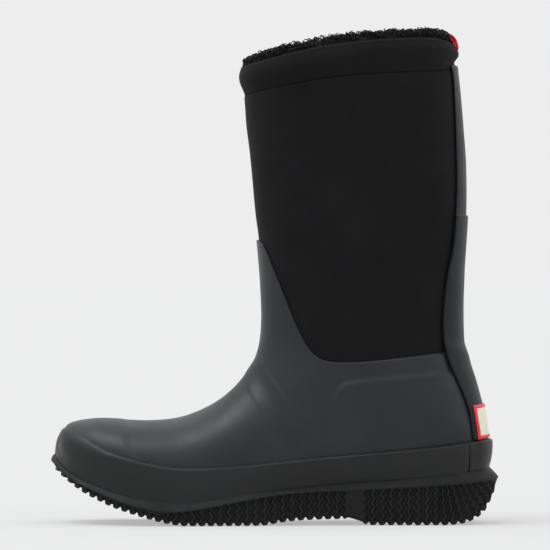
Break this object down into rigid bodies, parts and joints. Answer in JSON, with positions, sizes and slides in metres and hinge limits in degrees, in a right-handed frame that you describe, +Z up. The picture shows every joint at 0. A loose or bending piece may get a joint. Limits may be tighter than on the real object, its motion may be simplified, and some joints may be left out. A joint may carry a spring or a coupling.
{
  "type": "winter rubber boot",
  "caption": "Pull-on winter rubber boot: rubber foot with ribbed outsole, neoprene leg with stitched hem, curly pile lining, heel badge and a webbing pull tab at the rim.",
  "frame": {"origin": "centre of the boot's box on the floor, under the sole", "axes": "+Z up the leg, -Y towards the toe, +Y towards the heel, +X towards the wearer's left, which is the outer side of this left boot"},
  "size_m": [0.1025, 0.2845, 0.3167],
  "materials": {
    "outsole": "moulded matt rubber with ribbed tread",
    "foxing": "matt natural rubber",
    "upper_rubber": "matt natural rubber with a faint satin bloom",
    "stay_rubber": "matt natural rubber strip",
    "badge_red": "red moulded rubber",
    "badge_cream": "plain cream moulded rubber",
    "stiffener": "stiff rubberised sheet",
    "board": "pressed fibre board",
    "filler": "soft rubber sheet",
    "shank_steel": "flat tempered steel strip",
    "pile": "curly looped pile",
    "neoprene": "jersey-faced neoprene",
    "thread": "bonded polyester thread",
    "webbing_red": "woven webbing",
    "foam": "closed-cell foam"
  },
  "bodies": {
    "boot": {"outsole": "outsole", "foxing_band": "foxing", "heel_foxing": "foxing", "rubber_vamp": "upper_rubber", "back_stay": "stay_rubber", "back_stay_overlay": "stay_rubber", "heel_badge_border": "badge_red", "heel_badge_panel": "badge_cream", "toe_puff": "stiffener", "instep_band": "stiffener", "heel_counter": "stiffener", "insole_board": "board", "forepart_filler": "filler", "heel_filler": "filler", "shank": "shank_steel", "foot_lining": "pile", "leg_lining": "pile", "neoprene_leg": "neoprene", "hem_stitching": "thread", "pull_tab_anchor": "webbing_red"},
    "pull_tab": {"pull_tab": "webbing_red"},
    "footbed": {"footbed_foam": "foam", "footbed_cover": "pile"}
  },
  "joints": [
    {"name": "pull_tab_flip", "type": "hinge", "parent": "boot", "child": "pull_tab", "pos_m": [0, 0.1186, 0.3044], "axis": [-1, 0, 0], "range_deg": [0, 110]},
    {"name": "footbed_lift", "type": "hinge", "parent": "boot", "child": "footbed", "pos_m": [-0.006, -0.1215, 0.044], "axis": [1, 0, 0], "range_deg": [0, 6]}
  ]
}
